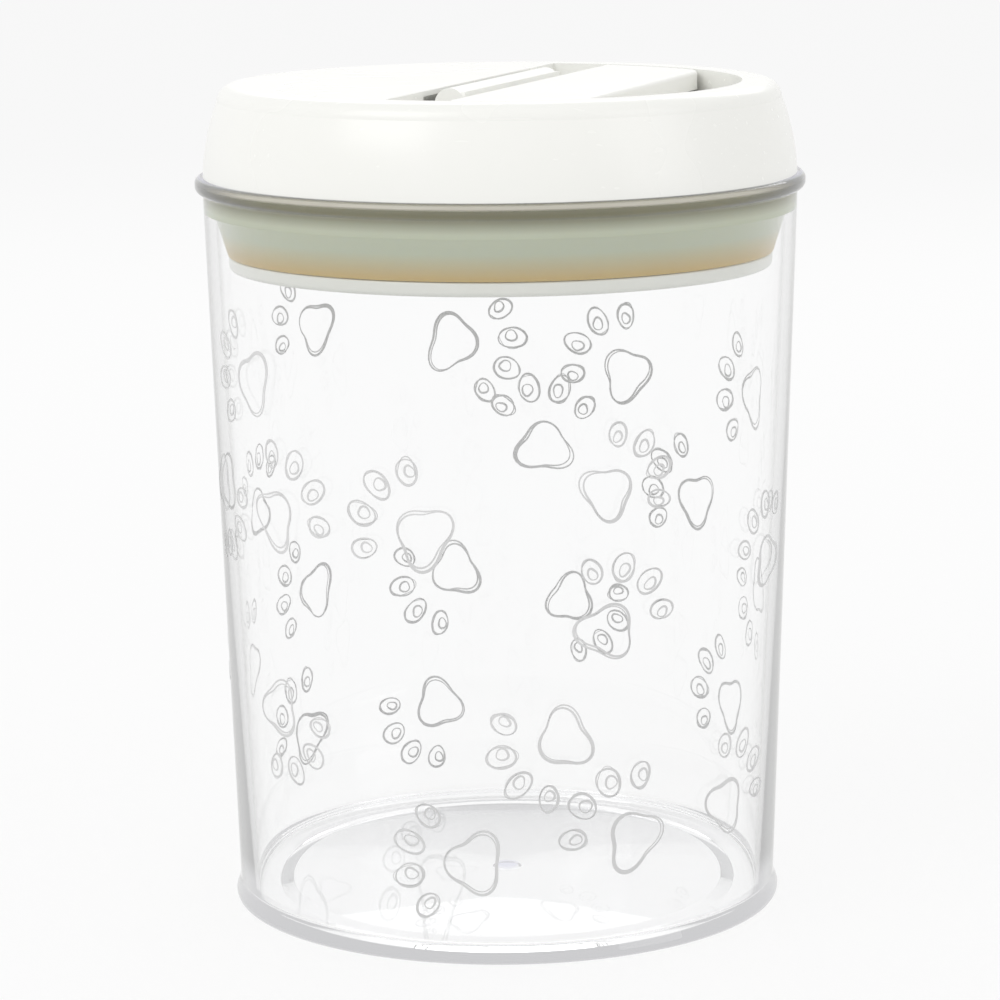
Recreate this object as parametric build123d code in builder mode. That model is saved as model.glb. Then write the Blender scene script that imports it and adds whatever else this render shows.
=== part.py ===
"""Round clear treat jar with a flip-handle airtight lid.

The jar is a tapered clear cup with a thick rolled rim. The lid drops in and rests on the rim.
Pressing the handle flat turns a crank that pulls the pressure plate up, which squeezes
the silicone seal out against the jar's wall. Lifting the handle lets the plate down again.
"""

from build123d import *
from math import cos, radians, sin, sqrt
import os

os.makedirs("parts", exist_ok=True)

# Jar
wall_top_radius = 68.2
jar_draft = 5.2
wall = 2.5
rim_overhang = 1.8
rim_height = 3.7
jar_height = 169.7
foot_flare = 1.1
foot_band = 4.5
floor_thickness = 3.4
panel_margin = 8.3
panel_slope = 3.3
panel_recess = 1.1
gate_radius = 1.9
gate_height = 0.5
inner_corner = 3.0
foot_round = 1.4
rim_round = 1.2

# Lid cover
cover_foot_inset = 0.1
cover_shoulder_inset = 3.6
cover_shoulder_drop = 3.6
cover_flat_inset = 7.5
cover_height = 20.7
cover_bulge = 0.75
cover_wall = 2.4
lip_gap = 2.4
recess_margin = 5.1
recess_depth = 5.2
pan_wall = 2.0
well_radius = 16.0
well_drop = 3.7
well_setback = 9.0
boss_radius = 3.6
boss_margin = 5.5
boss_count = 4

# Flip handle
hinge_turn = 20.0
hinge_drop = 8.1
barrel_radius = 4.0
bead_radius = 3.6
bead_rise = 0.8
channel_gap = 0.25
barrel_half_length = 32.0
handle_thickness = 4.4
handle_free_width = 20.5
handle_corner = 6.0
handle_gap = 0.6
edge_round = 1.0
notch_margin = 1.4
core_wall = 2.2
core_skin = 1.9
core_rib = 1.6
core_rib_pitch = 17.0
core_rib_count = 5

# Crank, yoke and travel
plate_travel = 3.0
crank_start = 150.0
crank_end = crank_start + 90.0
crank_radius = 2.5
crank_gap_top = 0.10
crank_gap_bottom = 0.25
crank_gap_side = 0.2
yoke_bar = 1.5
yoke_thickness = 5.0
yoke_corner = 2.5
window_corner = 0.5
swing_gap = 0.3

# Hinge pins and their posts
pin_radius = 1.5
pin_running_gap = 0.05
pin_seat_gap = 0.02
pin_inner_end = 8.0
pin_end_depth = 0.6
post_inner = 16.0
post_thickness = 4.5
post_radius = 3.6
post_foot_width = 13.0
post_slot_radius = 6.0
yoke_slot_radius = 7.5
pin_chamfer = 0.3

# Lid base
base_flange_gap = 0.6
base_flange_thickness = 2.3
base_plug_gap = 1.0
base_plug_wall = 2.4
base_floor_drop = 7.2
base_floor_thickness = 2.2
flange_lift = 0.2
guide_wall = 2.1
guide_height = 9.0
guide_spigot = 2.5
base_rib_thickness = 1.6
base_rib_height = 4.0
base_rib_count = 8

# Pull rod
rod_radius = 3.0
rod_running_gap = 0.08
rod_seat_gap = 0.05
boss_floor = 1.5

# Pressure plate
plate_inset = 3.7
plate_edge_height = 3.7
plate_web = 2.2
plate_edge_width = 7.0
plate_drop = 12.5
plate_boss_wall = 2.0
plate_boss_height = 8.5
plate_rib_count = 8
plate_rib_thickness = 1.6
plate_rib_height = 1.0
cap_recess_radius = 4.6
cap_recess_depth = 3.0
cap_gap = 0.1
cap_thickness = 0.8
cap_skirt = 1.3
cap_skirt_wall = 0.6
plate_round = 1.0
spring_seat_margin = 0.9
spring_seat_height = 5.0

# Seal
seal_gap = 0.3
seal_wall = 1.5
seal_foot_width = 2.2
seal_foot_depth = 1.8
seal_foot_inset = 3.2
seal_foot_gap = 0.1
seal_lip_drop = 2.1
seal_lip_height = 0.9
seal_cone_overhang = 0.2
seal_lip_wall = 2.0
seal_lip_root = 2.4

# Screws and washer
screw_radius = 1.45
screw_hole_gap = 0.25
screw_pilot_gap = 0.05
screw_head_radius = 2.9
screw_head_height = 1.5
screw_drive_depth = 0.9
screw_drive_width = 0.8
screw_drive_length = 3.5
washer_radius = 3.7
washer_thickness = 0.5
plate_screw_length = 10.0
cover_screw_length = 12.0

# Spring
spring_wire = 1.0
spring_turns = 3.5
spring_inner_gap = 0.6
spring_end_gap = 0.3

# Modelling allowances: how far a rib's or journal's root runs into its wall, how far a cut
# runs past the face it opens, and the rise of a quarter arc's middle above its lower end
root_overlap = 0.4
cut_past = 1.0
arc_middle = 1 - sqrt(0.5)

# Radii worked out from the jar's wall at the rim
wall_foot_radius = wall_top_radius - jar_draft
foot_radius = wall_foot_radius + foot_flare
panel_radius = wall_foot_radius - panel_margin
rim_radius = wall_top_radius + rim_overhang
cover_foot_radius = wall_top_radius - cover_foot_inset
cover_shoulder_radius = cover_foot_radius - cover_shoulder_inset
cover_flat_radius = cover_foot_radius - cover_flat_inset
recess_radius = cover_flat_radius - recess_margin
boss_circle = recess_radius - boss_margin
handle_reach = recess_radius - handle_free_width
plate_radius = wall_top_radius - wall - plate_inset
seal_foot_radius = plate_radius - seal_foot_inset
seal_cone_radius = plate_radius + seal_cone_overhang

# Heights worked out from the jar's rim upwards
rim_top = jar_height
cover_top = rim_top + cover_height
hinge_z = cover_top - hinge_drop
recess_floor = cover_top - recess_depth
handle_bottom = cover_top - handle_thickness
bead_z = cover_top + bead_rise - bead_radius
bead_offset = bead_z - hinge_z
swing_radius = bead_offset + bead_radius + swing_gap
base_floor_bottom = rim_top - base_floor_drop
base_floor_top = base_floor_bottom + base_floor_thickness
plate_top = base_floor_bottom - plate_drop + plate_edge_height
plate_bottom = plate_top - plate_edge_height
taper = (wall_top_radius - wall_foot_radius) / (jar_height - rim_height - foot_band)


def wall_radius(z):
    """Outer radius of the jar's tapered wall at height z."""
    return wall_foot_radius + taper * (z - foot_band)


def inner_radius(z):
    """Inner radius of the jar at height z."""
    return wall_radius(z) - wall


# Directions of the hinge line and of the handle's free edge
turn = radians(hinge_turn)
across = Vector(cos(turn), -sin(turn), 0)
along = Vector(sin(turn), cos(turn), 0)


def plan_plane(z):
    """Horizontal plane with x across the hinge line and y along it."""
    return Plane(origin=(0, 0, z), x_dir=across, z_dir=(0, 0, 1))


def plan_along(vertex):
    """Distance of a sketch vertex along the hinge line."""
    return vertex.Y


def hinge_plane(distance):
    """Upright plane square to the hinge line, centred on it, a distance along it."""
    centre = along * distance + Vector(0, 0, hinge_z)
    return Plane(origin=centre, x_dir=across, z_dir=-along)


# Jar: tapered wall, rolled rim, small foot flare and a recessed centre panel under the floor
with BuildPart() as jar:
    with BuildSketch(Plane.XZ):
        with BuildLine():
            rim_inner = inner_radius(jar_height)
            Polyline(
                (0, panel_recess),
                (panel_radius - panel_slope, panel_recess),
                (panel_radius, 0),
                (foot_radius - foot_round, 0),
            )
            ThreePointArc(
                (foot_radius - foot_round, 0),
                (foot_radius - arc_middle * foot_round, arc_middle * foot_round),
                (foot_radius, foot_round),
            )
            Line((foot_radius, foot_round), (wall_foot_radius, foot_band))
            rim_low = jar_height - rim_height
            Line((wall_foot_radius, foot_band), (wall_radius(rim_low), rim_low))
            ThreePointArc(
                (wall_radius(rim_low), rim_low),
                (rim_radius, jar_height - rim_height / 2),
                (rim_radius - rim_round, jar_height),
            )
            Line((rim_radius - rim_round, jar_height), (rim_inner, jar_height))
            corner_z = floor_thickness + inner_corner
            Line((rim_inner, jar_height), (inner_radius(corner_z), corner_z))
            ThreePointArc(
                (inner_radius(corner_z), corner_z),
                (
                    inner_radius(corner_z) - arc_middle * inner_corner,
                    floor_thickness + arc_middle * inner_corner,
                ),
                (inner_radius(corner_z) - inner_corner, floor_thickness),
            )
            Line((inner_radius(corner_z) - inner_corner, floor_thickness), (0, floor_thickness))
            Line((0, floor_thickness), (0, panel_recess))
        make_face()
    revolve(axis=Axis.Z)
    with BuildSketch(Plane.XY.offset(panel_recess - gate_height)):
        Circle(gate_radius)
    extrude(amount=gate_height + root_overlap)
jar.part.label = "jar"
export_step(jar.part, "parts/jar.step")

# Lid cover: thin domed shell with a sunk pan for the handle and a finger well beside it
shoulder_z = cover_top - cover_shoulder_drop
pan_bottom = recess_floor - pan_wall
lip = bead_radius + lip_gap
well_x = handle_reach + well_setback
well_z = recess_floor - well_drop + well_radius
boss_start = 180 / boss_count


def cover_section(inset):
    """Half section of the cover's dome, drawn in by inset."""
    middle_radius = (cover_foot_radius + cover_shoulder_radius) / 2 + cover_bulge - inset
    foot = (cover_foot_radius - inset, rim_top)
    shoulder = (cover_shoulder_radius - inset, shoulder_z - inset / 2)
    crown = (cover_flat_radius - inset / 2, cover_top - inset)
    knee_radius = shoulder[0] - arc_middle * (shoulder[0] - crown[0])
    knee_z = crown[1] - arc_middle * (crown[1] - shoulder[1])
    with BuildSketch(Plane.XZ) as section:
        with BuildLine():
            ThreePointArc(foot, (middle_radius, (rim_top + shoulder_z) / 2), shoulder)
            ThreePointArc(shoulder, (knee_radius, knee_z), crown)
            Polyline(crown, (0, crown[1]), (0, rim_top), foot)
        make_face()
    return section.sketch


def pan_body(grow, left, floor, top):
    """Round pan right of the line at left, with the trough of the finger well in its floor."""
    low = recess_floor - well_drop - grow
    with BuildPart() as pan:
        with BuildSketch(plan_plane(floor)):
            with Locations((2 * recess_radius - left, 0)):
                Rectangle(4 * recess_radius, 4 * recess_radius)
        extrude(amount=top - floor)
        with BuildSketch(Plane(origin=(0, 0, well_z), x_dir=across, z_dir=-along)):
            with Locations((well_x, 0)):
                Circle(well_radius + grow)
            with Locations((well_x, 2 * well_radius + floor + cut_past - well_z)):
                Rectangle(4 * well_radius, 4 * well_radius, mode=Mode.SUBTRACT)
        extrude(amount=2 * recess_radius, both=True)
        with BuildSketch(Plane.XY.offset(low - cut_past)):
            Circle(recess_radius + grow)
        extrude(amount=top - low + cut_past, mode=Mode.INTERSECT)
    return pan.part


with BuildPart() as lid_cover:
    revolve(cover_section(0), axis=Axis.Z)
    revolve(cover_section(cover_wall), axis=Axis.Z, mode=Mode.SUBTRACT)
    # Pan under the handle
    add(pan_body(pan_wall, swing_radius + pan_wall, pan_bottom, cover_top - cover_wall / 2))
    # Screw bosses reach down to the lid base
    with BuildSketch(plan_plane(base_floor_top)):
        with PolarLocations(boss_circle, boss_count, start_angle=boss_start):
            Circle(boss_radius)
    extrude(amount=cover_top - cover_wall / 2 - base_floor_top)
    # Hollow of the pan and of the finger well, then the swing space of the hinge
    add(pan_body(0, lip, recess_floor, cover_top + cut_past), mode=Mode.SUBTRACT)
    with BuildSketch(hinge_plane(0)):
        Circle(swing_radius)
        with Locations((barrel_radius + handle_gap + 2 * swing_radius, 0)):
            Rectangle(4 * swing_radius, 4 * swing_radius, mode=Mode.SUBTRACT)
    extrude(amount=barrel_half_length + handle_gap, both=True, mode=Mode.SUBTRACT)
    # Pilot holes for the cover screws
    with BuildSketch(plan_plane(base_floor_top)):
        with PolarLocations(boss_circle, boss_count, start_angle=boss_start):
            Circle(screw_radius + screw_pilot_gap)
    extrude(amount=cover_screw_length, mode=Mode.SUBTRACT)
lid_cover.part.label = "lid_cover"
export_step(lid_cover.part, "parts/lid_cover.step")

# Flip handle: flat plate, raised hinge bead, barrel, and a crank journal between two cheeks
crank_offset = plate_travel / (sin(radians(crank_start)) - sin(radians(crank_end)))
crank_x = crank_offset * cos(radians(crank_start))
crank_rise = crank_offset * sin(radians(crank_start))
post_middle = post_inner + post_thickness / 2
plate_gap = yoke_thickness / 2 + swing_gap
handle_radius = recess_radius - handle_gap
notch_x = bead_radius + notch_margin
channel_right = hinge_drop + swing_gap
channel_floor = lip - channel_gap

with BuildPart() as flip_handle:
    with BuildSketch(plan_plane(handle_bottom)):
        Circle(handle_radius)
        with Locations((-2 * handle_radius, 0), (handle_reach + 2 * handle_radius, 0)):
            Rectangle(4 * handle_radius, 4 * handle_radius, mode=Mode.SUBTRACT)
        corner_y = sqrt(handle_radius**2 - handle_reach**2)
        grip_corners = [v for v in vertices() if abs(abs(plan_along(v)) - corner_y) < 0.01]
        fillet(grip_corners, handle_corner)
        for side in (1, -1):
            with Locations((0, side * (barrel_half_length + handle_radius / 2))):
                Rectangle(2 * notch_x, handle_radius, mode=Mode.SUBTRACT)
    extrude(amount=handle_thickness)
    top_rim = faces().sort_by(Axis.Z)[-1].edges()
    fillet(top_rim, edge_round)
    # Coring of the underside between stiffening ribs
    with BuildSketch(plan_plane(handle_bottom)):
        Circle(handle_radius - core_wall)
        core_left = channel_right + core_wall
        with Locations((core_left - 2 * handle_radius, 0)):
            Rectangle(4 * handle_radius, 4 * handle_radius, mode=Mode.SUBTRACT)
        with Locations((handle_reach - core_wall + 2 * handle_radius, 0)):
            Rectangle(4 * handle_radius, 4 * handle_radius, mode=Mode.SUBTRACT)
        with GridLocations(0, core_rib_pitch, 1, core_rib_count):
            Rectangle(4 * handle_radius, core_rib, mode=Mode.SUBTRACT)
    extrude(amount=handle_thickness - core_skin, mode=Mode.SUBTRACT)
    with BuildSketch(hinge_plane(0)):
        Circle(barrel_radius)
        with Locations((0, bead_offset)):
            Circle(bead_radius)
        make_hull()
    extrude(amount=barrel_half_length, both=True)
    # Channel beside the bead, which takes the edge of the cover when the handle stands upright
    with BuildSketch(hinge_plane(0)):
        channel_top = bead_offset + bead_radius + cut_past
        channel_middle = (bead_radius + channel_right) / 2
        with Locations((channel_middle, (channel_floor + channel_top) / 2)):
            Rectangle(channel_right - bead_radius, channel_top - channel_floor)
    extrude(amount=handle_radius, both=True, mode=Mode.SUBTRACT)
    # Slots that clear the two posts
    for side in (1, -1):
        with BuildSketch(hinge_plane(side * post_middle)):
            Circle(post_slot_radius)
        extrude(amount=post_thickness / 2 + swing_gap, both=True, mode=Mode.SUBTRACT)
    # Slot that clears the yoke, with the crank journal across it
    with BuildSketch(hinge_plane(0)):
        Circle(yoke_slot_radius)
    extrude(amount=plate_gap, both=True, mode=Mode.SUBTRACT)
    with BuildSketch(hinge_plane(0)):
        with Locations((crank_x, crank_rise)):
            Circle(crank_radius)
    extrude(amount=plate_gap + root_overlap, both=True)
    # Bores for the two hinge pins
    for side in (1, -1):
        bore_length = barrel_half_length - pin_inner_end
        with BuildSketch(hinge_plane(side * (barrel_half_length - bore_length / 2))):
            Circle(pin_radius + pin_running_gap)
        extrude(amount=bore_length / 2, both=True, mode=Mode.SUBTRACT)
flip_handle.part.label = "flip_handle"
export_step(flip_handle.part, "parts/flip_handle.step")

# Hinge pins: two short steel pins pushed in from the barrel's ends
pin_length = barrel_half_length - pin_end_depth - pin_inner_end
with BuildPart() as hinge_pins:
    for side in (1, -1):
        with BuildSketch(hinge_plane(side * (pin_inner_end + pin_length / 2))):
            Circle(pin_radius)
        extrude(amount=pin_length / 2, both=True)
    chamfer(edges().filter_by(GeomType.CIRCLE), pin_chamfer)
hinge_pins.part.label = "hinge_pins"
export_step(hinge_pins.part, "parts/hinge_pins.step")

# Lid base: plug that drops into the jar, with the hinge posts and the guide for the rod
plug_radius = inner_radius(base_floor_bottom) - base_plug_gap
flange_radius = cover_foot_radius - cover_wall - base_flange_gap
flange_bottom = rim_top + flange_lift
flange_top = flange_bottom + base_flange_thickness
plug_inner = plug_radius - base_plug_wall
guide_radius = rod_radius + guide_wall
seal_foot_inner = seal_foot_radius - seal_foot_width / 2
seal_foot_outer = seal_foot_radius + seal_foot_width / 2

with BuildPart() as lid_base:
    with BuildSketch(Plane.XZ):
        with BuildLine():
            Polyline(
                (0, base_floor_bottom),
                (plug_radius, base_floor_bottom),
                (plug_radius, flange_bottom),
                (flange_radius, flange_bottom),
                (flange_radius, flange_top),
                (plug_inner, flange_top),
                (plug_inner, base_floor_top),
                (0, base_floor_top),
                close=True,
            )
        make_face()
    revolve(axis=Axis.Z)
    with BuildSketch(plan_plane(base_floor_bottom - guide_spigot)):
        Circle(guide_radius)
    extrude(amount=guide_spigot + base_floor_thickness + guide_height)
    # Hinge posts, wider at the foot
    for side in (1, -1):
        with BuildSketch(hinge_plane(side * post_middle)):
            post_foot = base_floor_top - hinge_z
            with BuildLine():
                Polyline(
                    (-post_foot_width / 2, post_foot),
                    (post_foot_width / 2, post_foot),
                    (post_radius, 0),
                    (-post_radius, 0),
                    close=True,
                )
            make_face()
            Circle(post_radius)
        extrude(amount=post_thickness / 2, both=True)
        with BuildSketch(hinge_plane(side * post_middle)):
            Circle(pin_radius + pin_seat_gap)
        extrude(amount=post_thickness, both=True, mode=Mode.SUBTRACT)
    # Radial ribs on the floor between the screw bosses
    rib_length = plug_inner - guide_radius
    with BuildSketch(plan_plane(base_floor_top)):
        rib_start = 180 / base_rib_count
        with PolarLocations((plug_inner + guide_radius) / 2, base_rib_count, start_angle=rib_start):
            Rectangle(rib_length + root_overlap, base_rib_thickness)
    extrude(amount=base_rib_height)
    # Bore for the rod, screw holes and the groove that holds the seal's upper foot
    with BuildSketch(Plane.XY.offset(base_floor_bottom - guide_spigot)):
        Circle(rod_radius + rod_running_gap)
    extrude(amount=guide_spigot + base_floor_thickness + guide_height, mode=Mode.SUBTRACT)
    with BuildSketch(plan_plane(base_floor_bottom)):
        with PolarLocations(boss_circle, boss_count, start_angle=boss_start):
            Circle(screw_radius + screw_hole_gap)
    extrude(amount=base_floor_thickness, mode=Mode.SUBTRACT)
    with BuildSketch(Plane.XY.offset(base_floor_bottom)):
        Circle(seal_foot_outer + seal_foot_gap)
        Circle(seal_foot_inner - seal_foot_gap, mode=Mode.SUBTRACT)
    extrude(amount=seal_foot_depth + seal_foot_gap, mode=Mode.SUBTRACT)
lid_base.part.label = "lid_base"
export_step(lid_base.part, "parts/lid_base.step")

# Cover screws: driven up through the lid base into the cover's bosses
with BuildPart() as cover_screws:
    with BuildSketch(plan_plane(base_floor_bottom - screw_head_height)):
        with PolarLocations(boss_circle, boss_count, start_angle=boss_start):
            Circle(screw_head_radius)
    extrude(amount=screw_head_height)
    with BuildSketch(plan_plane(base_floor_bottom)):
        with PolarLocations(boss_circle, boss_count, start_angle=boss_start):
            Circle(screw_radius)
    extrude(amount=cover_screw_length)
    with BuildSketch(plan_plane(base_floor_bottom - screw_head_height)):
        with PolarLocations(boss_circle, boss_count, start_angle=boss_start):
            Rectangle(screw_drive_length, screw_drive_width)
            Rectangle(screw_drive_width, screw_drive_length)
    extrude(amount=screw_drive_depth, mode=Mode.SUBTRACT)
cover_screws.part.label = "cover_screws"
export_step(cover_screws.part, "parts/cover_screws.step")

# Pull rod: round stem with a flat window yoke round the handle's crank journal
window_left = -crank_offset - crank_radius - crank_gap_side
window_right = crank_offset * cos(radians(crank_end)) + crank_radius + crank_gap_side
window_low = crank_rise - crank_radius - crank_gap_bottom
window_high = crank_rise + crank_radius + crank_gap_top
yoke_low = window_low - 2 * yoke_bar
yoke_width = window_right - window_left + 2 * yoke_bar
yoke_height = window_high + yoke_bar - yoke_low
rod_bottom = plate_bottom + cap_recess_depth + boss_floor

with BuildPart() as pull_rod:
    with BuildSketch(hinge_plane(0)):
        with Locations(((window_left + window_right) / 2, yoke_low + yoke_height / 2)):
            RectangleRounded(yoke_width, yoke_height, yoke_corner)
        window_height = window_high - window_low
        with Locations(((window_left + window_right) / 2, window_low + window_height / 2)):
            window_width = window_right - window_left
            RectangleRounded(window_width, window_height, window_corner, mode=Mode.SUBTRACT)
    extrude(amount=yoke_thickness / 2, both=True)
    with BuildSketch(Plane.XY.offset(rod_bottom)):
        Circle(rod_radius)
    extrude(amount=hinge_z + yoke_low - rod_bottom)
    with BuildSketch(Plane.XY.offset(rod_bottom)):
        Circle(screw_radius + screw_pilot_gap)
    extrude(amount=plate_screw_length, mode=Mode.SUBTRACT)
pull_rod.part.label = "pull_rod"
export_step(pull_rod.part, "parts/pull_rod.step")

# Pressure plate: thin dish with a thick edge, a boss for the rod and a groove for the seal
plate_boss_radius = rod_radius + rod_seat_gap + plate_boss_wall
spring_seat_radius = guide_radius + spring_inner_gap + spring_wire + spring_seat_margin
edge_inner = plate_radius - plate_edge_width

with BuildPart() as pressure_plate:
    with BuildSketch(Plane.XZ):
        with BuildLine():
            Polyline(
                (0, plate_bottom),
                (plate_radius - plate_round, plate_bottom),
                (plate_radius, plate_bottom + plate_round),
                (plate_radius, plate_top),
                (edge_inner, plate_top),
                (edge_inner, plate_bottom + plate_web),
                (spring_seat_radius, plate_bottom + plate_web),
                (spring_seat_radius, plate_bottom + spring_seat_height),
                (plate_boss_radius, plate_bottom + spring_seat_height),
                (plate_boss_radius, plate_bottom + plate_boss_height),
                (0, plate_bottom + plate_boss_height),
                close=True,
            )
        make_face()
    revolve(axis=Axis.Z)
    rib_middle = (spring_seat_radius + edge_inner) / 2
    with BuildSketch(Plane.XY.offset(plate_bottom + plate_web)):
        with PolarLocations(rib_middle, plate_rib_count):
            Rectangle(edge_inner - spring_seat_radius + 2 * root_overlap, plate_rib_thickness)
    extrude(amount=plate_rib_height)
    with BuildSketch(Plane.XY.offset(plate_bottom)):
        Circle(cap_recess_radius)
    extrude(amount=cap_recess_depth, mode=Mode.SUBTRACT)
    with BuildSketch(Plane.XY.offset(rod_bottom)):
        Circle(rod_radius + rod_seat_gap)
    extrude(amount=plate_boss_height, mode=Mode.SUBTRACT)
    with BuildSketch(Plane.XY.offset(plate_bottom)):
        Circle(screw_radius + screw_hole_gap)
    extrude(amount=plate_boss_height, mode=Mode.SUBTRACT)
    with BuildSketch(Plane.XY.offset(plate_top - seal_foot_depth - seal_foot_gap)):
        Circle(seal_foot_outer + seal_foot_gap)
        Circle(seal_foot_inner - seal_foot_gap, mode=Mode.SUBTRACT)
    extrude(amount=seal_foot_depth + 2 * seal_foot_gap, mode=Mode.SUBTRACT)
pressure_plate.part.label = "pressure_plate"
export_step(pressure_plate.part, "parts/pressure_plate.step")

# Seal: soft ring with a C section, one foot in the lid base and one in the plate
lip_top = base_floor_bottom - seal_foot_gap
lip_low = base_floor_bottom - seal_lip_drop
lip_radius = inner_radius(lip_low) - seal_gap
cone_low = plate_top + seal_foot_gap
with BuildPart() as seal:
    with BuildSketch(Plane.XZ):
        with BuildLine():
            Polyline(
                (seal_foot_outer, base_floor_bottom + seal_foot_depth),
                (seal_foot_outer, lip_top),
                (lip_radius - seal_lip_height, lip_top),
                (lip_radius, lip_top - seal_lip_height),
                (lip_radius, lip_low),
                (seal_cone_radius, cone_low),
                (seal_foot_outer, cone_low),
                (seal_foot_outer, plate_top - seal_foot_depth),
                (seal_foot_inner, plate_top - seal_foot_depth),
                (seal_foot_inner, cone_low + seal_wall),
                (seal_cone_radius - seal_wall, cone_low + seal_wall),
                (lip_radius - seal_lip_wall, lip_low),
                (lip_radius - seal_lip_root, lip_top - seal_wall),
                (seal_foot_inner, lip_top - seal_wall),
                (seal_foot_inner, base_floor_bottom + seal_foot_depth),
                close=True,
            )
        make_face()
    revolve(axis=Axis.Z)
seal.part.label = "seal"
export_step(seal.part, "parts/seal.step")

# Return spring: one open coil that pushes the plate down when the handle is lifted
spring_low = plate_bottom + spring_seat_height + spring_end_gap + spring_wire / 2
spring_high = base_floor_bottom - spring_end_gap - spring_wire / 2
spring_pitch = (spring_high - spring_low) / spring_turns
spring_radius = guide_radius + spring_inner_gap + spring_wire / 2
with BuildPart() as return_spring:
    with BuildLine():
        coil = Helix(pitch=spring_pitch, height=spring_high - spring_low, radius=spring_radius,
                     center=(0, 0, spring_low))
    with BuildSketch(Plane(origin=coil @ 0, z_dir=coil % 0)):
        Circle(spring_wire / 2)
    sweep(is_frenet=True)
return_spring.part.label = "return_spring"
export_step(return_spring.part, "parts/return_spring.step")
print("least gap between spring turns, mm:", round(spring_pitch - spring_wire, 2))

# Plate screw, its washer and the cap that closes the recess under the plate
washer_top = plate_bottom + cap_recess_depth
washer_bottom = washer_top - washer_thickness
with BuildPart() as plate_washer:
    with BuildSketch(Plane.XY.offset(washer_bottom)):
        Circle(washer_radius)
        Circle(screw_radius + screw_hole_gap, mode=Mode.SUBTRACT)
    extrude(amount=washer_thickness)
plate_washer.part.label = "plate_washer"
export_step(plate_washer.part, "parts/plate_washer.step")

with BuildPart() as plate_screw:
    with BuildSketch(Plane.XY.offset(washer_bottom - screw_head_height)):
        Circle(screw_head_radius)
    extrude(amount=screw_head_height)
    with BuildSketch(Plane.XY.offset(washer_bottom)):
        Circle(screw_radius)
    extrude(amount=plate_screw_length)
    with BuildSketch(Plane.XY.offset(washer_bottom - screw_head_height)):
        Rectangle(screw_drive_length, screw_drive_width)
        Rectangle(screw_drive_width, screw_drive_length)
    extrude(amount=screw_drive_depth, mode=Mode.SUBTRACT)
plate_screw.part.label = "plate_screw"
export_step(plate_screw.part, "parts/plate_screw.step")

with BuildPart() as screw_cap:
    with BuildSketch(Plane.XY.offset(plate_bottom)):
        Circle(cap_recess_radius - cap_gap)
    extrude(amount=cap_thickness)
    with BuildSketch(Plane.XY.offset(plate_bottom + cap_thickness)):
        Circle(cap_recess_radius - cap_gap)
        Circle(cap_recess_radius - cap_gap - cap_skirt_wall, mode=Mode.SUBTRACT)
    extrude(amount=cap_skirt)
screw_cap.part.label = "screw_cap"
export_step(screw_cap.part, "parts/screw_cap.step")
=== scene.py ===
import math
import random

import bmesh
import bpy
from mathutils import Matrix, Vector


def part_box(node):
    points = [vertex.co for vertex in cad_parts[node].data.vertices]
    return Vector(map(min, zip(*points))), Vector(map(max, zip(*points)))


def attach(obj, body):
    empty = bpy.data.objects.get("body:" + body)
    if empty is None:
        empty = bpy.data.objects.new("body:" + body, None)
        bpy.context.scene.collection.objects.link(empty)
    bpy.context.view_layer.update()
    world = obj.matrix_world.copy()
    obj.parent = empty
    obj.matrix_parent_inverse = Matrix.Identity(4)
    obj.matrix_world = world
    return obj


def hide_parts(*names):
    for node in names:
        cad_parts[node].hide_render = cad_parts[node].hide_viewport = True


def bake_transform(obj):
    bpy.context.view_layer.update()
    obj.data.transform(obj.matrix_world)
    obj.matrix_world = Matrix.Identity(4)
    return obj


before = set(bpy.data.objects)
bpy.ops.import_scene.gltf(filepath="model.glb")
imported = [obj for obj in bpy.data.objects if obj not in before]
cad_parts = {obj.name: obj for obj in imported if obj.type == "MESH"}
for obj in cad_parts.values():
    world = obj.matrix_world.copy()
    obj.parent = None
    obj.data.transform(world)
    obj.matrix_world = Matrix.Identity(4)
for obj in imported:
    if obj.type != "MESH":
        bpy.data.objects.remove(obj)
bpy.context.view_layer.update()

scene = bpy.context.scene

# Camera: a long lens in front of the jar and a little above it, looking slightly down,
# with the small roll and sideways shift that the photograph's framing has.
camera_distance = 0.8737
camera_height = 0.2573
camera_pitch = math.radians(10.656)
camera_roll = math.radians(-0.593)
lens_px = 3810.9
frame_px = 1000
centre_px = 503.4
camera_data = bpy.data.cameras.new("camera")
camera_data.sensor_width = 36.0
camera_data.lens = lens_px / frame_px * camera_data.sensor_width
camera_data.shift_x = (frame_px / 2 - centre_px) / frame_px
camera_data.clip_start = 0.05
camera_data.clip_end = 60.0
camera = bpy.data.objects.new("camera", camera_data)
scene.collection.objects.link(camera)
camera.location = (0, -camera_distance, camera_height)
camera.rotation_euler = (math.pi / 2 - camera_pitch, 0, 0)
camera.rotation_euler.rotate_axis("Z", camera_roll)
scene.camera = camera

# Studio: an even white room with a large soft lamp at the upper left, a weaker one at the
# right and a strip behind, and a white floor that keeps a faint shadow.
scene.view_settings.view_transform = "Standard"
room_strength = 0.78
background_strength = 1.0
lamp_target = Vector((0, 0, 0.1))
floor_half = 12.0
floor_level = -0.0001
floor_grey = (0.86, 0.86, 0.86)
floor_glow_share = 0.8


def maths(made, operation, *values):
    """Output of a Math node that works on sockets and plain numbers."""
    node = made.nodes.new("ShaderNodeMath")
    node.operation = operation
    for socket, value in zip(node.inputs, values):
        if isinstance(value, float):
            socket.default_value = value
        else:
            made.links.new(value, socket)
    return node.outputs[0]


def shader_mix(made, share, first, second):
    """Shader between two shaders, after a mask."""
    mix = made.nodes.new("ShaderNodeMixShader")
    for socket, value in zip(mix.inputs, (share, first, second)):
        made.links.new(value, socket)
    return mix.outputs[0]


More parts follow.
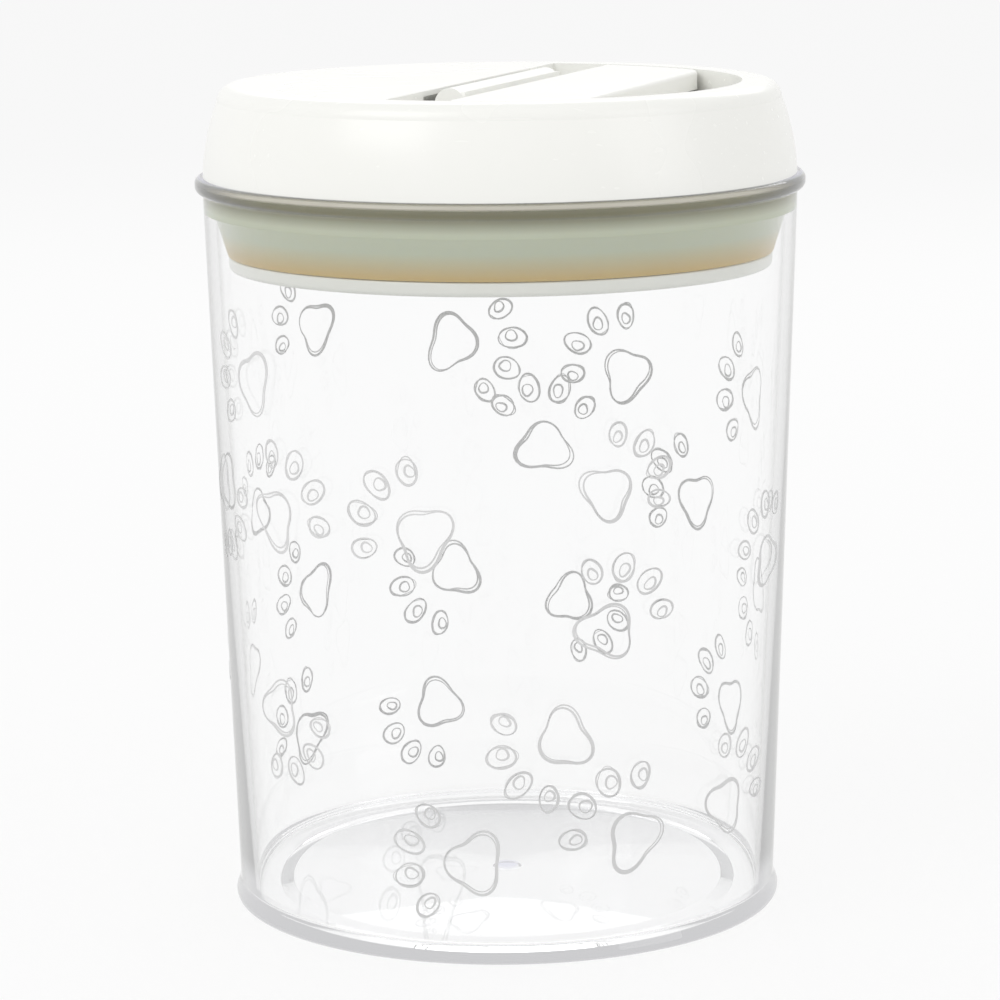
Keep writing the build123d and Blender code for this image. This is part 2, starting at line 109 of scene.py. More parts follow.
def background_rays(made):
    """1 for rays that show the background straight, in a reflection or through clear plastic."""
    path = made.nodes.new("ShaderNodeLightPath")
    straight = maths(made, "MAXIMUM", path.outputs["Is Camera Ray"], path.outputs["Is Glossy Ray"])
    return maths(made, "MAXIMUM", straight, path.outputs["Is Transmission Ray"])


def white_room(made, strength):
    """Even white background of a given strength."""
    room = made.nodes.new("ShaderNodeBackground")
    room.inputs["Color"].default_value = (1, 1, 1, 1)
    room.inputs["Strength"].default_value = strength
    return room.outputs[0]


def lamp(name, place, size, power):
    """Soft rectangular lamp aimed at the middle of the jar."""
    data = bpy.data.lights.new(name, "AREA")
    data.shape = "RECTANGLE"
    data.size, data.size_y = size
    data.energy = power
    made = bpy.data.objects.new(name, data)
    scene.collection.objects.link(made)
    made.location = place
    made.rotation_euler = (lamp_target - Vector(place)).to_track_quat("-Z", "Y").to_euler()


world = bpy.data.worlds.new("studio")
world.use_nodes = True
scene.world = world
tree = world.node_tree
tree.nodes.clear()
lighting_room = white_room(tree, room_strength)
seen_room = white_room(tree, background_strength)
world_out = tree.nodes.new("ShaderNodeOutputWorld")
tree.links.new(shader_mix(tree, background_rays(tree), lighting_room, seen_room), world_out.inputs[0])

lamp("key_lamp", (-0.9, -0.8, 1.1), (0.9, 0.9), 6.0)
lamp("fill_lamp", (1.1, -0.6, 0.6), (0.7, 0.9), 2.0)
lamp("back_lamp", (0.2, 1.2, 0.9), (1.2, 0.5), 3.0)

floor_mesh = bpy.data.meshes.new("floor")
floor_plan = ((-1, -1), (1, -1), (1, 1), (-1, 1))
floor_corners = [(x * floor_half, y * floor_half, floor_level) for x, y in floor_plan]
floor_mesh.from_pydata(floor_corners, [], [(0, 1, 2, 3)])
floor = bpy.data.objects.new("floor", floor_mesh)
scene.collection.objects.link(floor)
floor_finish = bpy.data.materials.new("floor_white")
floor_finish.use_nodes = True
tree = floor_finish.node_tree
tree.nodes.clear()
matt = tree.nodes.new("ShaderNodeBsdfDiffuse")
matt.inputs["Color"].default_value = (*floor_grey, 1)
glow = tree.nodes.new("ShaderNodeEmission")
glow.inputs["Color"].default_value = (1, 1, 1, 1)
glow_share = maths(tree, "MULTIPLY", background_rays(tree), floor_glow_share)
floor_out = tree.nodes.new("ShaderNodeOutputMaterial")
tree.links.new(shader_mix(tree, glow_share, matt.outputs[0], glow.outputs[0]), floor_out.inputs[0])
floor_mesh.materials.append(floor_finish)

# Jar: one clear injection-moulded cup of hard plastic, tapered so that it leaves the mould,
# with a rolled rim, a small flare at the foot and a sunk panel with the gate mark under the floor.
jar_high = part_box("jar")[1]
jar_height = jar_high.z
rim_radius = jar_high.x
rim_height = 0.0037
bead_lead = 0.0002
wall = 0.0025
wall_foot_radius = 0.0630
wall_top_radius = 0.0682
foot_radius = 0.0641
foot_flat_radius = foot_radius - 0.0002
foot_flare_top = 0.0016
foot_band = 0.0045
floor_thickness = 0.0034
panel_radius = 0.0547
panel_slope = 0.0033
panel_recess = 0.0011
gate_radius = 0.0034
gate_flat_radius = 0.8 * gate_radius
gate_depth = 0.0004
rim_low = jar_height - rim_height
taper = (wall_top_radius - wall_foot_radius) / (rim_low - foot_band)


def wall_radius(z):
    """Outer radius of the jar's wall at height z."""
    return wall_foot_radius + taper * (z - foot_band)


def rounded(corners, steps=8):
    """Closed outline from corners of (radius, height, rounding), each rounded where that isn't zero."""
    made = []
    count = len(corners)
    for i in range(count):
        before = Vector(corners[i - 1][:2])
        corner = Vector(corners[i][:2])
        after = Vector(corners[(i + 1) % count][:2])
        rounding = corners[i][2]
        if rounding <= 0:
            made.append(tuple(corner))
            continue
        back = (before - corner).normalized()
        ahead = (after - corner).normalized()
        half = back.angle(ahead) / 2
        reach = rounding / math.tan(half)
        centre = corner + (back + ahead).normalized() * (rounding / math.sin(half))
        start = corner + back * reach - centre
        end = corner + ahead * reach - centre
        turn = start.angle(end)
        for k in range(steps + 1):
            part = k / steps
            spoke = (start * math.sin((1 - part) * turn) + end * math.sin(part * turn)) / math.sin(turn)
            made.append(tuple(centre + spoke))
    return made


def closed_piece(name, verts, faces):
    """Object with a closed mesh whose faces look outwards."""
    mesh = bpy.data.meshes.new(name)
    mesh.from_pydata(verts, [], faces)
    mesh.validate()
    work = bmesh.new()
    work.from_mesh(mesh)
    bmesh.ops.recalc_face_normals(work, faces=work.faces)
    work.to_mesh(mesh)
    work.free()
    made = bpy.data.objects.new(name, mesh)
    scene.collection.objects.link(made)
    return made


def turned(name, outline, steps=192, smooth_angle=30.0):
    """Closed solid of revolution about Z from a closed outline of (radius, height)."""
    on_axis = 1e-7
    verts = []
    rings = []
    for radius, height in outline:
        if radius < on_axis:
            rings.append([len(verts)] * steps)
            verts.append((0, 0, height))
            continue
        rings.append(list(range(len(verts), len(verts) + steps)))
        for k in range(steps):
            a = 2 * math.pi * k / steps
            verts.append((radius * math.sin(a), -radius * math.cos(a), height))
    faces = []
    for i, ring in enumerate(rings):
        ahead = rings[(i + 1) % len(rings)]
        for k in range(steps):
            quad = [ring[k], ring[(k + 1) % steps], ahead[(k + 1) % steps], ahead[k]]
            quad = [v for j, v in enumerate(quad) if v != quad[j - 1]]
            if len(quad) > 2:
                faces.append(quad)
    made = closed_piece(name, verts, faces)
    made.data.shade_smooth()
    made.data.set_sharp_from_angle(angle=math.radians(smooth_angle))
    return made


jar_corners = [
    (0, panel_recess + gate_depth, 0),
    (gate_flat_radius, panel_recess + gate_depth, 0.0002),
    (gate_radius, panel_recess, 0.0002),
    (panel_radius - panel_slope, panel_recess, 0.0004),
    (panel_radius, 0, 0.0003),
    (foot_flat_radius, 0, 0.0011),
    (foot_radius, foot_flare_top, 0.002),
    (wall_foot_radius, foot_band, 0.004),
    (wall_radius(rim_low), rim_low, 0.0005),
    (rim_radius, rim_low + bead_lead, 0.0016),
    (rim_radius, jar_height, 0.0015),
    (wall_radius(jar_height) - wall, jar_height, 0.0004),
    (wall_radius(floor_thickness) - wall, floor_thickness, 0.0012),
    (0, floor_thickness, 0),
]
jar = turned("jar_clear", rounded(jar_corners), steps=256, smooth_angle=50.0)


def noise(made, place, scale, detail):
    """Noise at a scale that is a number or a socket."""
    node = made.nodes.new("ShaderNodeTexNoise")
    node.inputs["Detail"].default_value = detail
    made.links.new(place, node.inputs["Vector"])
    if isinstance(scale, float):
        node.inputs["Scale"].default_value = scale
    else:
        made.links.new(scale, node.inputs["Scale"])
    return node.outputs["Fac"]


def ramp(made, driver, low, high, top=1.0):
    """0 where the driver is low, rising to the top value where it is high."""
    mask = made.nodes.new("ShaderNodeMapRange")
    mask.inputs["From Min"].default_value = low
    mask.inputs["From Max"].default_value = high
    mask.inputs["To Max"].default_value = top
    made.links.new(driver, mask.inputs["Value"])
    return mask.outputs[0]


def tone_mix(made, driver, first, second):
    """Colour between two colours or colour sockets, after a mask."""
    mix = made.nodes.new("ShaderNodeMix")
    mix.data_type = "RGBA"
    for side, tone in (("A", first), ("B", second)):
        if isinstance(tone, tuple):
            mix.inputs[side].default_value = (*tone, 1)
        else:
            made.links.new(tone, mix.inputs[side])
    made.links.new(driver, mix.inputs["Factor"])
    return mix.outputs["Result"]


def moulded_group():
    """Slow flow marks, fine speckle and handling scratches of a moulded plastic face."""
    scratch_stretch = (40.0, 900.0, 900.0)
    scratch_lean = (0.3, 0.5, 0.7)
    scratch_edges = (0.70, 0.80)
    speckle_relief = 0.35
    flow_relief = 0.1
    group = bpy.data.node_groups.new("moulded_face", "ShaderNodeTree")
    for name in ("Flow Scale", "Speckle Scale"):
        group.interface.new_socket(name, in_out="INPUT", socket_type="NodeSocketFloat")
    for name in ("Tone", "Scuff", "Height"):
        group.interface.new_socket(name, in_out="OUTPUT", socket_type="NodeSocketFloat")
    enter = group.nodes.new("NodeGroupInput")
    leave = group.nodes.new("NodeGroupOutput")
    place = group.nodes.new("ShaderNodeTexCoord").outputs["Object"]
    flow = noise(group, place, enter.outputs["Flow Scale"], 2.0)
    speckle = noise(group, place, enter.outputs["Speckle Scale"], 3.0)
    stretch = group.nodes.new("ShaderNodeMapping")
    stretch.inputs["Scale"].default_value = scratch_stretch
    stretch.inputs["Rotation"].default_value = scratch_lean
    group.links.new(place, stretch.inputs["Vector"])
    scratch = noise(group, stretch.outputs[0], 1.0, 1.0)
    slow = maths(group, "MULTIPLY", flow, flow_relief)
    height = maths(group, "MULTIPLY_ADD", speckle, speckle_relief, slow)
    group.links.new(flow, leave.inputs["Tone"])
    group.links.new(ramp(group, scratch, *scratch_edges), leave.inputs["Scuff"])
    group.links.new(height, leave.inputs["Height"])
    return group


moulded_face = moulded_group()
scuff_roughness = 0.02
relief_depth = 0.0002


def moulded_finish(name, roughness, scales, bump, tones=None):
    """Principled material with a moulded face's marks, in two near tones where they are given."""
    finish = bpy.data.materials.new(name)
    finish.use_nodes = True
    made = finish.node_tree
    shader = made.nodes["Principled BSDF"]
    marks = made.nodes.new("ShaderNodeGroup")
    marks.node_tree = moulded_face
    marks.inputs["Flow Scale"].default_value, marks.inputs["Speckle Scale"].default_value = scales
    rough = made.nodes.new("ShaderNodeMapRange")
    rough.inputs["To Min"].default_value, rough.inputs["To Max"].default_value = roughness
    made.links.new(marks.outputs["Tone"], rough.inputs["Value"])
    scuffed = maths(made, "MULTIPLY_ADD", marks.outputs["Scuff"], scuff_roughness, rough.outputs[0])
    made.links.new(scuffed, shader.inputs["Roughness"])
    relief = made.nodes.new("ShaderNodeBump")
    relief.inputs["Strength"].default_value = bump
    relief.inputs["Distance"].default_value = relief_depth
    made.links.new(marks.outputs["Height"], relief.inputs["Height"])
    made.links.new(relief.outputs[0], shader.inputs["Normal"])
    if tones:
        made.links.new(tone_mix(made, marks.outputs["Tone"], *tones), shader.inputs["Base Color"])
    return finish, made, shader


clear_finish, tree, shader = moulded_finish("clear_plastic", (0.0, 0.02), (18.0, 260.0), 0.015)
shader.inputs["IOR"].default_value = 1.5
shader.inputs["Transmission Weight"].default_value = 1.0
place = tree.nodes.new("ShaderNodeTexCoord").outputs["Object"]
split = tree.nodes.new("ShaderNodeSeparateXYZ")
tree.links.new(place, split.inputs[0])
height = split.outputs["Z"]
edge_on = tree.nodes.new("ShaderNodeLayerWeight")
edge_on.inputs["Blend"].default_value = 0.5
facing = edge_on.outputs["Facing"]

# The wall is nearly colourless. The thick bead shows violet where it is seen edge-on, and its lower
# part is painted brown as painted shade for the shadowed seal behind it. The foot and the gate mark are
# slightly violet.
wall_clear = (0.992, 0.993, 0.993)
wall_edge_painted_shade = (0.50, 0.50, 0.485)
foot_violet = (0.975, 0.975, 0.985)
gate_violet = (0.80, 0.80, 0.90)
# Painted shade: the brown that the shadowed seal shows through the bead's lower part.
bead_painted_shade = (0.62, 0.57, 0.43)
bead_clear = (0.97, 0.96, 0.93)
bead_violet = (0.50, 0.49, 0.84)
bead_height = ramp(tree, height, rim_low + 0.0012, rim_low + 0.0026)
bead_shade_tone = tone_mix(tree, bead_height, bead_painted_shade, bead_clear)
bead_tone = tone_mix(tree, ramp(tree, facing, 0.38, 0.72), bead_shade_tone, bead_violet)
# The grey where the wall is seen edge-on is painted shade, standing in for the dark line that refraction
# gives along the wall's outline.
wall_tone = tone_mix(tree, ramp(tree, facing, 0.80, 0.89), wall_clear, wall_edge_painted_shade)
lower_tone = tone_mix(tree, ramp(tree, height, 0.001, foot_band), foot_violet, wall_tone)
rim_mask = ramp(tree, height, rim_low - 0.0002, rim_low + 0.0006)
moulded_tone = tone_mix(tree, rim_mask, lower_tone, bead_tone)
from_axis = tree.nodes.new("ShaderNodeVectorMath")
from_axis.operation = "MULTIPLY"
from_axis.inputs[1].default_value = (1, 1, 0)
tree.links.new(place, from_axis.inputs[0])
away = tree.nodes.new("ShaderNodeVectorMath")
away.operation = "LENGTH"
tree.links.new(from_axis.outputs[0], away.inputs[0])
gate_mask = ramp(tree, away.outputs["Value"], 0.7 * gate_radius, gate_radius)
tree.links.new(tone_mix(tree, gate_mask, gate_violet, moulded_tone), shader.inputs["Base Color"])

# Where a ray is caught inside the plastic, the plastic gives out a painted pale glow by emission, brighter
# at the foot than in the wall.
most_mirrors = 2.5
most_hits = 9.5
glow_at_foot = (0.60, 0.60, 0.61)
glow_in_wall = (0.40, 0.40, 0.40)
path = tree.nodes.new("ShaderNodeLightPath")
many_mirrors = maths(tree, "GREATER_THAN", path.outputs["Glossy Depth"], most_mirrors)
many_hits = maths(tree, "GREATER_THAN", path.outputs["Ray Depth"], most_hits)
trapped = maths(tree, "MAXIMUM", many_mirrors, many_hits)
trapped_glow = tree.nodes.new("ShaderNodeEmission")
trapped_glow_tone = tone_mix(tree, ramp(tree, height, foot_band, 2 * foot_band), glow_at_foot, glow_in_wall)
tree.links.new(trapped_glow_tone, trapped_glow.inputs["Color"])
clear_shader = shader_mix(tree, trapped, shader.outputs[0], trapped_glow.outputs[0])

# A pale matt band on the upper part of the bead is a painted highlight, standing in for the bright line
# that light makes along the bead's top.
painted_highlight_tone = (0.78, 0.74, 0.66)
highlight_share = 0.55
band_low = ramp(tree, height, rim_low + 0.0021, rim_low + 0.0026)
band_high = ramp(tree, height, rim_low + 0.0036, rim_low + 0.0031)
band = maths(tree, "MULTIPLY", band_low, band_high)
highlight_band_share = maths(tree, "MULTIPLY", band, ramp(tree, facing, 0.75, 0.45, highlight_share))
painted_highlight = tree.nodes.new("ShaderNodeBsdfDiffuse")
painted_highlight.inputs["Color"].default_value = (*painted_highlight_tone, 1)
bead_shader = shader_mix(tree, highlight_band_share, clear_shader, painted_highlight.outputs[0])

# Light from the lamps and from other pieces passes straight through the wall.
wall_lets = (0.93, 0.93, 0.93)
lighting_ray = maths(tree, "MAXIMUM", path.outputs["Is Shadow Ray"], path.outputs["Is Diffuse Ray"])
straight_through = tree.nodes.new("ShaderNodeBsdfTransparent")
straight_through.inputs["Color"].default_value = (*wall_lets, 1)
jar_shader = shader_mix(tree, lighting_ray, bead_shader, straight_through.outputs[0])
tree.links.new(jar_shader, tree.nodes["Material Output"].inputs["Surface"])
jar.data.materials.append(clear_finish)
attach(jar, "jar")
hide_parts("jar")

# Printed paws: a scatter of outline paw prints in pale grey ink, screen-printed on the outside
# of the wall. Each print is a pad and four toes drawn as thin uneven pen strokes.
print_random = random.Random(7)
full_turn = 6.28
print_low = 0.018
print_high = 0.134
paw_size = 0.0225
paw_size_range = (0.92, 1.08)
paw_spin_range = (-2.6, 2.6)
paw_spacing = 0.0275
paw_count = 27
paw_tries = 4000
pad_half = (0.29, 0.25)
pad_drop = 0.10
pad_points = 0.17
toe_fan = math.radians(33)
toe_reach = (0.58, 0.60)
toe_drop = 0.04
toe_half = (0.105, 0.14)
toe_steps = ((-1.5, 0.92), (-0.5, 1.05), (0.5, 1.05), (1.5, 0.92))
ring_half = (0.48, 0.45)
ring_offset = 0.02
stroke = 0.00046
stroke_swell = 0.35
ink_lift = 0.00002
ink_depth = 0.00005
ink_verts = []
ink_faces = []


def on_wall(turn_at, s, t, z, lift):
    """Point of a print, s sideways and t up from its centre, laid on the wall."""
    height = z + t
    radius = wall_radius(height) + lift
    a = turn_at + s / wall_radius(z)
    return (radius * math.sin(a), -radius * math.cos(a), height)


def ink_loop(turn_at, z, spin, loop, width):
    """Closed pen stroke along a loop of plan points, as a thin ribbon on the wall."""
    count = len(loop)
    c, s = math.cos(spin), math.sin(spin)
    flat = [(x * c - y * s, x * s + y * c) for x, y in loop]
    phase = print_random.uniform(0, full_turn)
    base = len(ink_verts)
    for i in range(count):
        back = Vector(flat[i - 1])
        ahead = Vector(flat[(i + 1) % count])
        along = (ahead - back).normalized()
        side = Vector((-along.y, along.x))
        swell = 1 + stroke_swell * math.sin(2 * math.pi * i / count + phase)
        half = side * (width * swell / 2)
        here = Vector(flat[i])
        for edge in (here - half, here + half):
            for lift in (ink_lift, ink_lift + ink_depth):
                ink_verts.append(on_wall(turn_at, edge.x, edge.y, z, lift))
    for i in range(count):
        a = base + 4 * i
        b = base + 4 * ((i + 1) % count)
        for k, m in ((0, 1), (1, 3), (3, 2), (2, 0)):
            ink_faces.append((a + k, b + k, b + m, a + m))


def wobbly_oval(cx, cy, rx, ry, lean, wobble, count=36):
    """Oval with a slightly uneven hand-drawn outline."""
    first = print_random.uniform(0, full_turn)
    second = print_random.uniform(0, full_turn)
    c, s = math.cos(lean), math.sin(lean)
    points = []
    for i in range(count):
        a = 2 * math.pi * i / count
        grow = 1 + wobble * math.sin(2 * a + first) + wobble * 0.6 * math.sin(3 * a + second)
        x = rx * grow * math.cos(a)
        y = ry * grow * math.sin(a)
        points.append((cx + x * c - y * s, cy + x * s + y * c))
    return points


def pad_outline(scale, wobble, count=60):
    """Rounded three-sided pad, wide at the heel."""
    first = print_random.uniform(0, full_turn)
    points = []
    for i in range(count):
        a = 2 * math.pi * i / count
        three = 1 + pad_points * math.cos(3 * (a - math.pi / 2)) + wobble * math.sin(2 * a + first)
        x = pad_half[0] * scale * three * math.cos(a)
        y = pad_half[1] * scale * three * math.sin(a) - pad_drop * scale
        points.append((x, y))
    return points


def paw(turn_at, z, spin, size):
    """One paw print: a pad and four toes, each drawn twice over, with a smaller ring in each toe."""
    ink_loop(turn_at, z, spin, pad_outline(size, 0.04), stroke * 1.15)
    ink_loop(turn_at, z, spin, pad_outline(size * 0.93, 0.06), stroke * 0.8)
    for step, toe_scale in toe_steps:
        a = math.pi / 2 - step * toe_fan
        lean = a - math.pi / 2
        cx = toe_reach[0] * size * math.cos(a)
        cy = toe_reach[1] * size * math.sin(a) - toe_drop * size
        rx, ry = toe_half[0] * size * toe_scale, toe_half[1] * size * toe_scale
        ink_loop(turn_at, z, spin, wobbly_oval(cx, cy, rx, ry, lean, 0.05), stroke)
        ink_loop(turn_at, z, spin, wobbly_oval(cx, cy, rx * 0.96, ry * 1.03, lean, 0.08), stroke * 0.5)
        off = ring_offset * size
        ring = wobbly_oval(cx + off, cy - off, rx * ring_half[0], ry * ring_half[1], lean, 0.1, 20)
        ink_loop(turn_at, z, spin, ring, stroke * 0.9)


paws_placed = []
for attempt in range(paw_tries):
    if len(paws_placed) >= paw_count:
        break
    turn_at = print_random.uniform(0, 2 * math.pi)
    z = print_random.uniform(print_low, print_high)
    clear = True
    for other_turn, other_z in paws_placed:
        apart = abs((turn_at - other_turn + math.pi) % (2 * math.pi) - math.pi) * wall_radius(z)
        if math.hypot(apart, z - other_z) < paw_spacing:
            clear = False
    if clear:
        paws_placed.append((turn_at, z))
for turn_at, z in paws_placed:
    spin = print_random.uniform(*paw_spin_range)
    paw(turn_at, z, spin, paw_size * print_random.uniform(*paw_size_range))

paw_prints = closed_piece("paw_prints", ink_verts, ink_faces)
ink_tones = ((0.56, 0.56, 0.56), (0.76, 0.76, 0.76))
ink_finish = moulded_finish("print_ink", (0.45, 0.6), (60.0, 900.0), 0.1, ink_tones)[0]
paw_prints.data.materials.append(ink_finish)
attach(paw_prints, "jar")

# Lid cover: off-white moulded dome with a sunk pan for the handle and a finger well,
# polished outside. It carries four bosses inside for the screws from the lid base.
cover_tones = ((0.885, 0.885, 0.845), (0.91, 0.91, 0.88))


def dress(node, finish):
    """Gives a CAD node its finish in every material slot."""
    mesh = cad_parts[node].data
    if not mesh.materials:
        mesh.materials.append(finish)
    for i in range(len(mesh.materials)):
        mesh.materials[i] = finish


dress("lid_cover", moulded_finish("white_plastic", (0.24, 0.30), (22.0, 700.0), 0.012, cover_tones)[0])

# Flip handle: the same off-white plastic, slightly more rubbed by fingers,
# with the hinge bead along its left edge and a cored underside.
handle_tones = ((0.88, 0.88, 0.845), (0.91, 0.91, 0.88))
dress("flip_handle", moulded_finish("handle_plastic", (0.26, 0.34), (30.0, 700.0), 0.015, handle_tones)[0])

# Lid base: the plug that drops into the jar, moulded in a greener, slightly darker white.
# Four screws hold it up into the cover, and it carries the hinge and the rod's guide.
base_tones = ((0.66, 0.67, 0.60), (0.72, 0.73, 0.66))
dress("lid_base", moulded_finish("inner_plastic", (0.35, 0.5), (26.0, 380.0), 0.06, base_tones)[0])

# Pressure plate: white plastic dish with a thick edge, radial ribs, a boss for the rod and a
# seat for the spring. The small cap of the same plastic closes the recess over its screw.
plate_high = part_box("pressure_plate")[1]
plate_radius = plate_high.x + 0.0006
plate_low = 0.1489
plate_edge_top = 0.1522
plate_web_top = 0.1511
plate_edge_inner = 0.0550
seat_radius = 0.0076
seat_top = 0.1550
boss_radius = 0.00505
bore_radius = 0.00305
bore_low = 0.1545
recess_radius = 0.0046
recess_top = 0.1530
screw_hole = 0.0017
rib_count = 8
rib_half = 0.0008
rib_height = 0.001
rib_overlap = 0.0004
plate_tones = ((0.76, 0.77, 0.71), (0.81, 0.82, 0.77))
plate_corners = [
    (recess_radius, plate_low, 0.0002),
    (plate_radius, plate_low, 0.0012),
    (plate_radius, plate_edge_top, 0.0005),
    (plate_edge_inner, plate_edge_top, 0.0003),
    (plate_edge_inner, plate_web_top, 0.0004),
    (seat_radius, plate_web_top, 0.0004),
    (seat_radius, seat_top, 0.0003),
    (boss_radius, seat_top, 0.0003),
    (boss_radius, plate_high.z, 0.0003),
    (bore_radius, plate_high.z, 0.0002),
    (bore_radius, bore_low, 0),
    (screw_hole, bore_low, 0),
    (screw_hole, recess_top, 0),
    (recess_radius, recess_top, 0),
]
plate = turned("plate_disc", rounded(plate_corners, steps=5), steps=192, smooth_angle=40.0)
plate_finish = moulded_finish("plate_plastic", (0.3, 0.4), (24.0, 600.0), 0.02, plate_tones)[0]
plate.data.materials.append(plate_finish)
box_faces = ((0, 1, 3, 2), (4, 6, 7, 5), (0, 4, 5, 1), (2, 3, 7, 6), (1, 5, 7, 3), (0, 2, 6, 4))
plate_ribs = bmesh.new()
plate_ribs.from_mesh(plate.data)
for i in range(rib_count):
    a = 2 * math.pi * i / rib_count
    out = Vector((math.cos(a), math.sin(a), 0))
    side = Vector((-math.sin(a), math.cos(a), 0))
    corners = []
    for radius in (seat_radius - rib_overlap, plate_edge_inner + rib_overlap):
        for offset in (-rib_half, rib_half):
            for z in (plate_web_top - rib_overlap, plate_web_top + rib_height):
                corners.append(plate_ribs.verts.new(out * radius + side * offset + Vector((0, 0, z))))
    for face in box_faces:
        plate_ribs.faces.new([corners[k] for k in face])
bmesh.ops.recalc_face_normals(plate_ribs, faces=plate_ribs.faces)
plate_ribs.to_mesh(plate.data)
plate_ribs.free()
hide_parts("pressure_plate")
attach(plate, "plate")
dress("screw_cap", plate_finish)

# Pull rod: stiff natural-coloured plastic, matt where it slides in the lid base's guide.
# Its yoke goes round the handle's crank, and a screw holds the plate to its lower end.
rod_tones = ((0.72, 0.72, 0.69), (0.80, 0.80, 0.77))
dress("pull_rod", moulded_finish("rod_plastic", (0.45, 0.6), (40.0, 500.0), 0.08, rod_tones)[0])

# Hinge pins, screws and washer: small steel hardware, hidden inside the lid.
# The pins are ground, the screws are plated and the washer is stamped.
steel_scales = (90.0, 1500.0)
steel_bump = 0.1


def steel_finish(name, roughness, dark, pale):
    """Bare or plated steel with fine drawing marks."""
    finish, made, metal = moulded_finish(name, roughness, steel_scales, steel_bump, (dark, pale))
    metal.inputs["Metallic"].default_value = 1.0
    return finish


dress("hinge_pins", steel_finish("pin_steel", (0.18, 0.3), (0.56, 0.56, 0.57), (0.70, 0.70, 0.71)))
screw_finish = steel_finish("screw_steel", (0.25, 0.4), (0.50, 0.50, 0.51), (0.64, 0.64, 0.65))
dress("cover_screws", screw_finish)
dress("plate_screw", screw_finish)
dress("plate_washer", steel_finish("washer_steel", (0.3, 0.45), (0.55, 0.55, 0.56), (0.70, 0.70, 0.71)))

# Seal: soft translucent silicone ring with a C section, one foot held in the lid base and
# one in the plate. Squeezed by the closed handle, it bulges out and lies flat on the jar's wall.
seal_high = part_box("seal")[1]
base_floor = 0.1625
plug_side = 0.0647
foot_inner = 0.0577
foot_outer = 0.0599
foot_depth = 0.0009
seal_press = 0.00003
seal_top = 0.1690
seal_lip_z = 0.1618
seal_skin = 0.0015
cone_radius = plate_radius + 0.0002
cone_foot = plate_edge_top + 0.0001
under_plug = base_floor - 0.00005
shoulder_drop = 0.0006
shoulder_outer = plug_side - 0.0008
shoulder_inner = plug_side - 0.002


def pressed(z):
    """Radius at which the squeezed silicone lies on the jar's inner face."""
    return wall_radius(z) - wall + seal_press


seal_corners = [
    (pressed(seal_top), seal_top, 0.0003),
    (pressed(seal_lip_z), seal_lip_z, 0.0009),
    (cone_radius, cone_foot, 0.0004),
    (foot_outer, cone_foot, 0),
    (foot_outer, plate_edge_top - foot_depth, 0.0003),
    (foot_inner, plate_edge_top - foot_depth, 0.0003),
    (foot_inner, plate_edge_top + seal_skin, 0.0004),
    (cone_radius - seal_skin, plate_edge_top + seal_skin, 0.0004),
    (shoulder_outer, base_floor - seal_skin - shoulder_drop, 0.0003),
    (shoulder_inner, base_floor - seal_skin, 0.0003),
    (foot_inner, base_floor - seal_skin, 0.0004),
    (foot_inner, seal_high.z, 0.0005),
    (foot_outer, seal_high.z, 0.0005),
    (foot_outer, under_plug, 0),
    (plug_side, under_plug, 0),
    (plug_side, seal_top, 0.0002),
]
seal = turned("silicone_seal", rounded(seal_corners, steps=5), steps=192, smooth_angle=60.0)
seal_finish, tree, shader = moulded_finish("silicone", (0.42, 0.55), (35.0, 900.0), 0.04)
shader.inputs["Subsurface Weight"].default_value = 0.25
shader.inputs["Subsurface Radius"].default_value = (0.003, 0.0022, 0.0012)
shader.inputs["Subsurface Scale"].default_value = 1.0
split = tree.nodes.new("ShaderNodeSeparateXYZ")
tree.links.new(tree.nodes.new("ShaderNodeTexCoord").outputs["Object"], split.inputs[0])
height = split.outputs["Z"]

# Tan low down over the plate and green above; towards the top it turns dark olive, a painted shadow from
# under the jar's rim.
plate_side_tan = (0.56, 0.41, 0.16)
cone_green = (0.50, 0.54, 0.41)
band_green = (0.52, 0.55, 0.43)
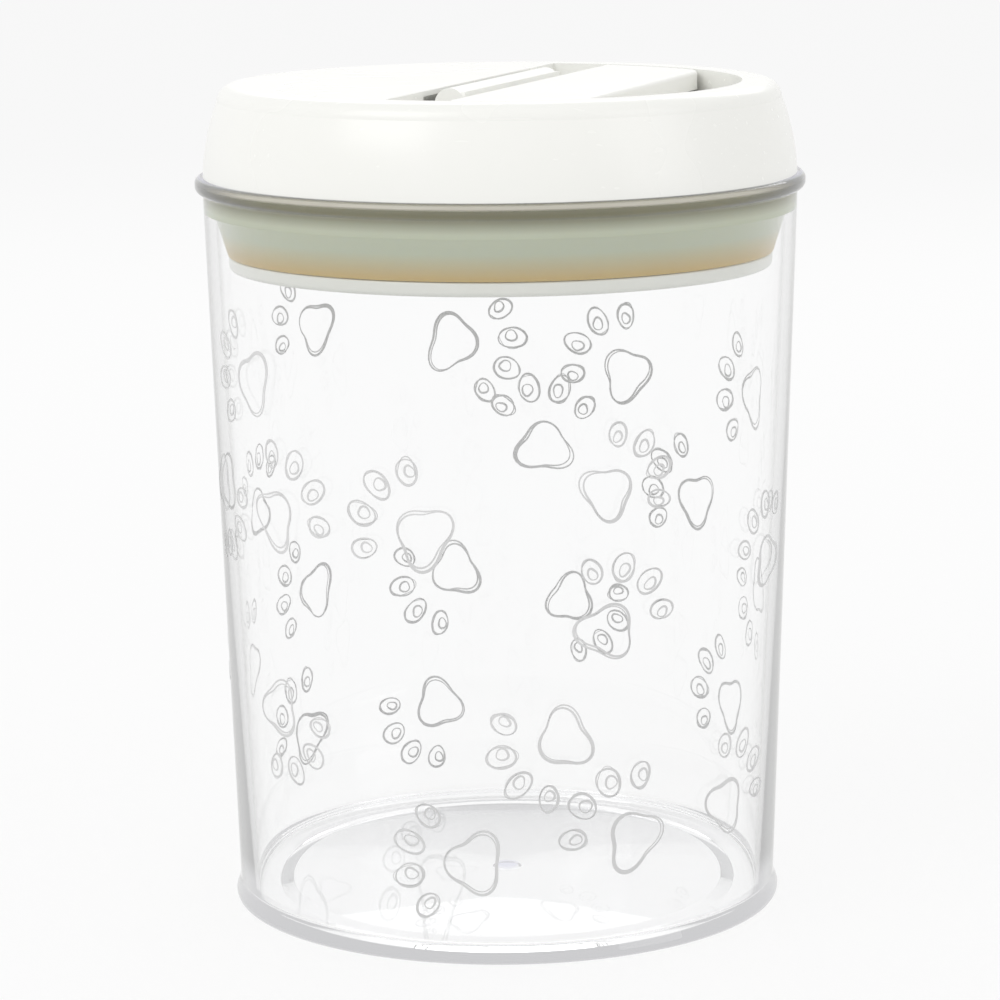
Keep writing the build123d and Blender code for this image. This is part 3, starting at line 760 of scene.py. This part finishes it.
# Painted shadow: the dark olive that the rim casts over the seal's top.
painted_rim_shadow = (0.26, 0.26, 0.18)
tan_mask = ramp(tree, height, plate_edge_top + 0.0008, plate_edge_top + 0.0062)
rim_shade_mask = ramp(tree, height, seal_lip_z + 0.0010, rim_low - 0.0006)
base_mask = ramp(tree, height, seal_lip_z - 0.0004, seal_lip_z + 0.0012)
low_tone = tone_mix(tree, tan_mask, plate_side_tan, cone_green)
upper_tone = tone_mix(tree, rim_shade_mask, band_green, painted_rim_shadow)
tree.links.new(tone_mix(tree, base_mask, low_tone, upper_tone), shader.inputs["Base Color"])
seal.data.materials.append(seal_finish)
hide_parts("seal")
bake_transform(seal)

# Return spring: music-wire coil round the rod, between the lid base and the plate.
# It pushes the plate down when the handle is lifted.
spring_low, spring_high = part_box("return_spring")
wire = 0.001
coil_radius = spring_high.x - wire / 2
coil_turns = 3.5
coil_steps = 48
wire_sides = 12
spring_verts = []
spring_faces = []
ring_count = int(coil_turns * coil_steps) + 1
rise = spring_high.z - spring_low.z - wire
for i in range(ring_count):
    a = 2 * math.pi * i / coil_steps
    outward = Vector((math.cos(a), math.sin(a), 0))
    level = spring_low.z + wire / 2 + rise * i / (ring_count - 1)
    centre = outward * coil_radius + Vector((0, 0, level))
    for k in range(wire_sides):
        b = 2 * math.pi * k / wire_sides
        offset = outward * (math.cos(b) * wire / 2) + Vector((0, 0, math.sin(b) * wire / 2))
        spring_verts.append(tuple(centre + offset))
for i in range(ring_count - 1):
    for k in range(wire_sides):
        a = i * wire_sides + k
        b = i * wire_sides + (k + 1) % wire_sides
        spring_faces.append((a, b, b + wire_sides, a + wire_sides))
spring_faces.append(tuple(reversed(range(wire_sides))))
spring_faces.append(tuple(range((ring_count - 1) * wire_sides, ring_count * wire_sides)))
coil_spring = closed_piece("coil_spring", spring_verts, spring_faces)
coil_spring.data.shade_smooth()
spring_finish = steel_finish("spring_steel", (0.2, 0.32), (0.48, 0.48, 0.50), (0.62, 0.62, 0.64))
coil_spring.data.materials.append(spring_finish)
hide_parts("return_spring")
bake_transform(coil_spring)
